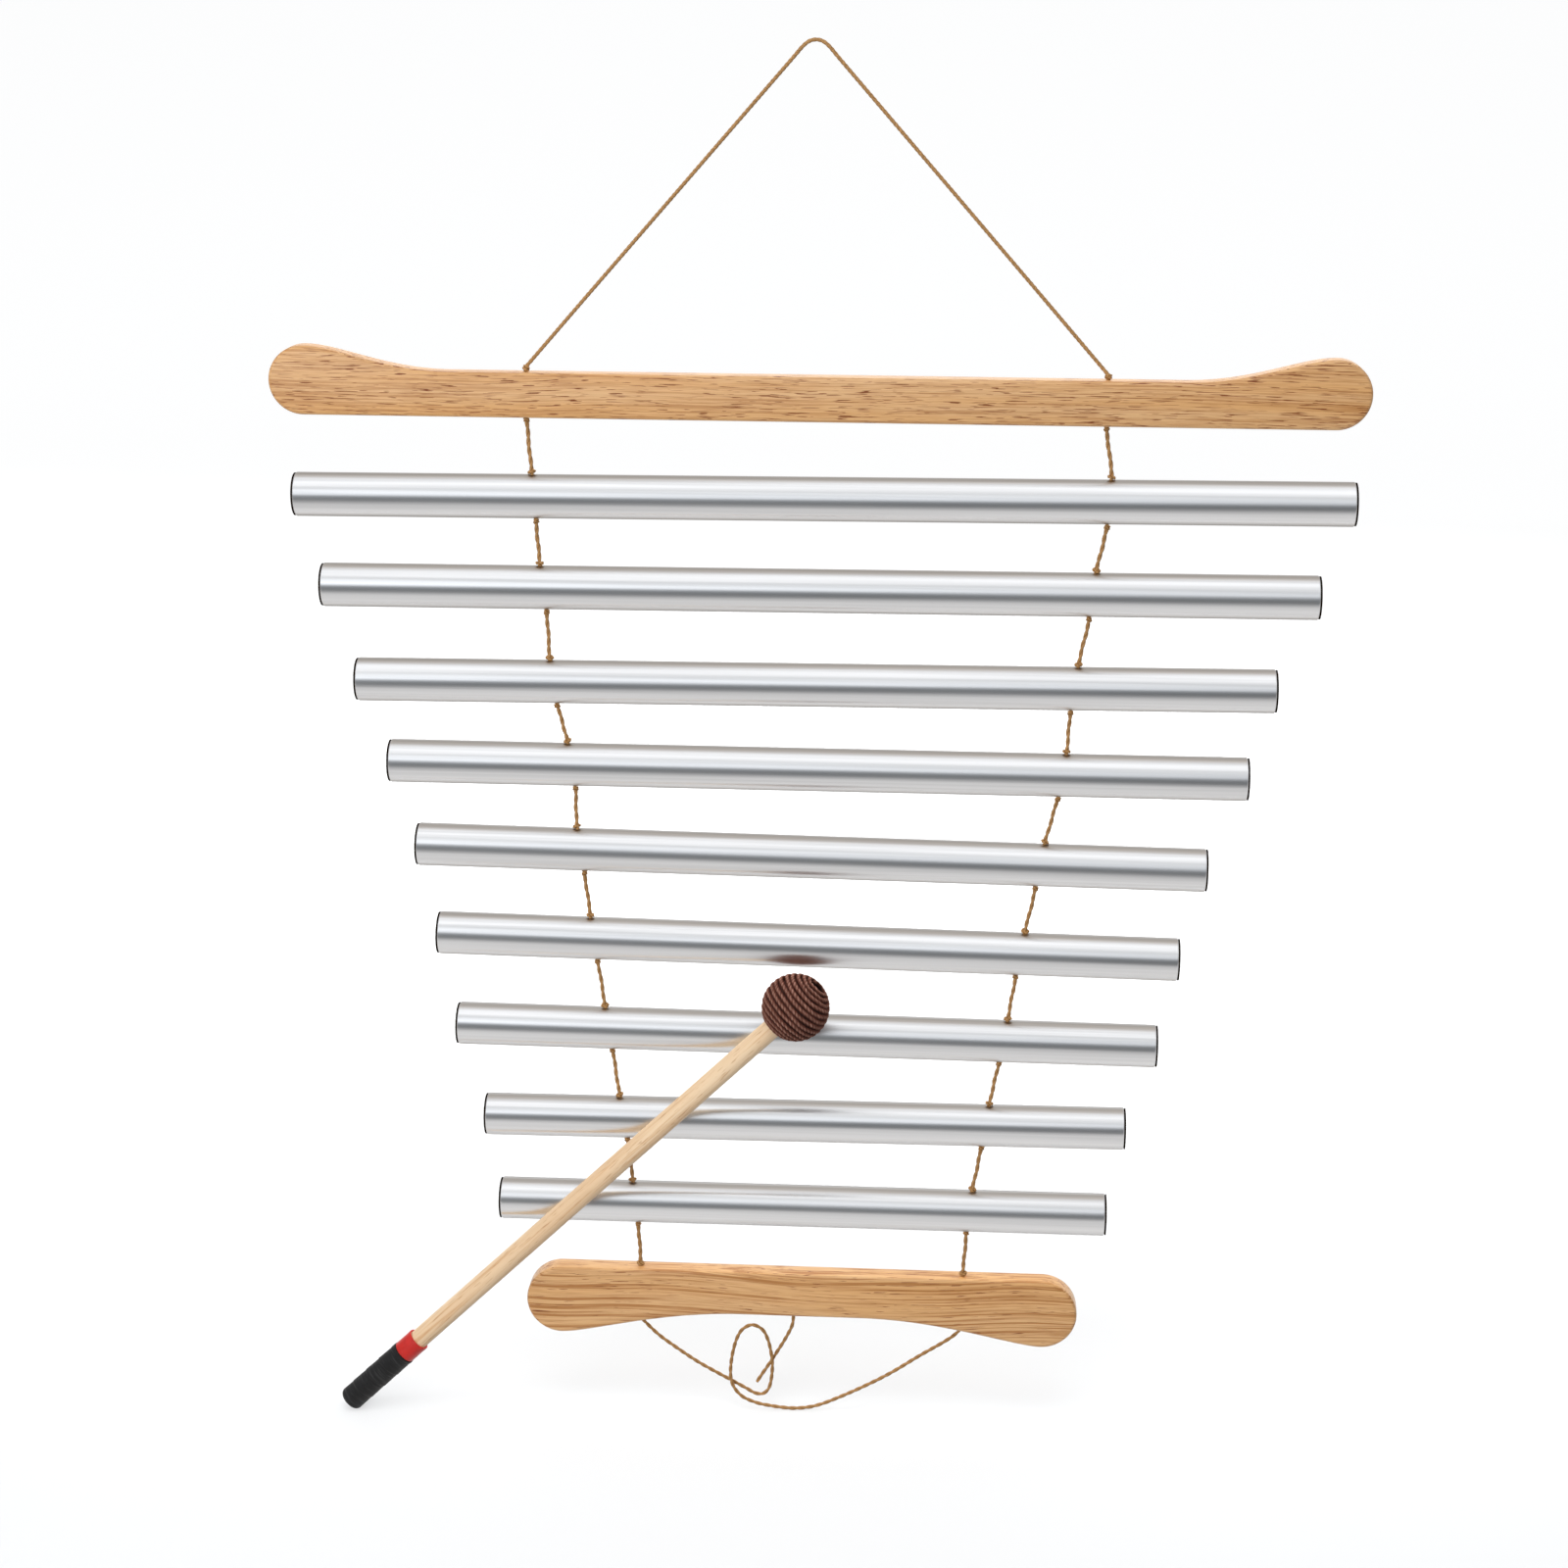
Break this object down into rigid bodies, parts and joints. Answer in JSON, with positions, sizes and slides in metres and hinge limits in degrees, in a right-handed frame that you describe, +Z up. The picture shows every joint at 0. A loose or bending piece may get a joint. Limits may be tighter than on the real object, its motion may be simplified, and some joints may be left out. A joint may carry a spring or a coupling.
{
  "type": "hanging bar chime",
  "caption": "Hanging ladder chime: closed metal tubes of falling length strung on two knotted cords between two wooden bars, with a yarn-wound mallet.",
  "frame": {"origin": "underside of the hanger cord at its top, where a hook or finger carries the chime", "axes": "+Z up, +X to the right as the player faces the chime, front (the side that is struck) towards -Y"},
  "size_m": [0.492, 0.0434, 0.6527],
  "materials": {
    "tube": "polished drawn tube",
    "end_cap": "dark brown, slightly domed",
    "oak": "sanded, open grain, edges eased",
    "cord": "two-strand twisted golden brown cord",
    "birch": "smooth pale dowel",
    "yarn": "wound dark brown wool yarn",
    "red_tape": "glossy red band",
    "black_tape": "black wrapped tape"
  },
  "bodies": {
    "hanger": {"hanger_cord": "cord"},
    "upper_bar": {"top_bar": "oak", "bar_cord_left": "cord", "bar_cord_right": "cord"},
    "chime_tube_1": {"tube_1": "tube", "cap_left_1": "end_cap", "cap_right_1": "end_cap", "cord_left_1": "cord", "cord_right_1": "cord"},
    "chime_tube_2": {"tube_2": "tube", "cap_left_2": "end_cap", "cap_right_2": "end_cap", "cord_left_2": "cord", "cord_right_2": "cord"},
    "chime_tube_3": {"tube_3": "tube", "cap_left_3": "end_cap", "cap_right_3": "end_cap", "cord_left_3": "cord", "cord_right_3": "cord"},
    "chime_tube_4": {"tube_4": "tube", "cap_left_4": "end_cap", "cap_right_4": "end_cap", "cord_left_4": "cord", "cord_right_4": "cord"},
    "chime_tube_5": {"tube_5": "tube", "cap_left_5": "end_cap", "cap_right_5": "end_cap", "cord_left_5": "cord", "cord_right_5": "cord"},
    "chime_tube_6": {"tube_6": "tube", "cap_left_6": "end_cap", "cap_right_6": "end_cap", "cord_left_6": "cord", "cord_right_6": "cord"},
    "chime_tube_7": {"tube_7": "tube", "cap_left_7": "end_cap", "cap_right_7": "end_cap", "cord_left_7": "cord", "cord_right_7": "cord"},
    "chime_tube_8": {"tube_8": "tube", "cap_left_8": "end_cap", "cap_right_8": "end_cap", "cord_left_8": "cord", "cord_right_8": "cord"},
    "chime_tube_9": {"tube_9": "tube", "cap_left_9": "end_cap", "cap_right_9": "end_cap", "cord_left_9": "cord", "cord_right_9": "cord"},
    "lower_bar": {"bottom_bar": "oak", "cord_left_10": "cord", "cord_right_10": "cord", "lower_loop_cord": "cord", "tail_cord": "cord"},
    "mallet": {"mallet_stick": "birch", "mallet_core": "birch", "mallet_yarn": "yarn", "mallet_band": "red_tape", "mallet_grip": "black_tape"}
  },
  "joints": [
    {"name": "upper_bar_swing", "type": "hinge", "parent": "hanger", "child": "upper_bar", "pos_m": [0.001, 0, -0.1426], "axis": [1, 0, 0], "range_deg": [0, 20]},
    {"name": "tube_1_swing", "type": "hinge", "parent": "upper_bar", "child": "chime_tube_1", "pos_m": [0.001, 0, -0.167], "axis": [1, 0, 0], "range_deg": [0, 20]},
    {"name": "tube_2_swing", "type": "hinge", "parent": "chime_tube_1", "child": "chime_tube_2", "pos_m": [0.00358, 0, -0.2123], "axis": [1, 0, 0.007], "range_deg": [0, 20]},
    {"name": "tube_3_swing", "type": "hinge", "parent": "chime_tube_2", "child": "chime_tube_3", "pos_m": [0.00236, 0, -0.2545], "axis": [1, 0, 0.0052], "range_deg": [0, 20]},
    {"name": "tube_4_swing", "type": "hinge", "parent": "chime_tube_3", "child": "chime_tube_4", "pos_m": [0.00108, 0, -0.2984], "axis": [1, 0, 0.007], "range_deg": [0, 20]},
    {"name": "tube_5_swing", "type": "hinge", "parent": "chime_tube_4", "child": "chime_tube_5", "pos_m": [0.0027, 0, -0.3385], "axis": [1, 0, 0], "range_deg": [0, 20]},
    {"name": "tube_6_swing", "type": "hinge", "parent": "chime_tube_5", "child": "chime_tube_6", "pos_m": [0.00007, 0, -0.3806], "axis": [0.9999, 0, -0.0105], "range_deg": [0, 20]},
    {"name": "tube_7_swing", "type": "hinge", "parent": "chime_tube_6", "child": "chime_tube_7", "pos_m": [-0.00105, 0, -0.4241], "axis": [0.9999, 0, -0.0122], "range_deg": [0, 20]},
    {"name": "tube_8_swing", "type": "hinge", "parent": "chime_tube_7", "child": "chime_tube_8", "pos_m": [-0.00108, 0, -0.4681], "axis": [1, 0, -0.007], "range_deg": [0, 20]},
    {"name": "tube_9_swing", "type": "hinge", "parent": "chime_tube_8", "child": "chime_tube_9", "pos_m": [-0.00134, 0, -0.5119], "axis": [1, 0, 0.0052], "range_deg": [0, 20]},
    {"name": "lower_bar_swing", "type": "hinge", "parent": "chime_tube_9", "child": "lower_bar", "pos_m": [-0.00198, 0, -0.5555], "axis": [1, 0, 0.0017], "range_deg": [0, 20]},
    {"name": "mallet_lift", "type": "slide", "parent": "hanger", "child": "mallet", "axis": [0, -0.6, 0.8], "range_m": [0, 0.25]}
  ]
}
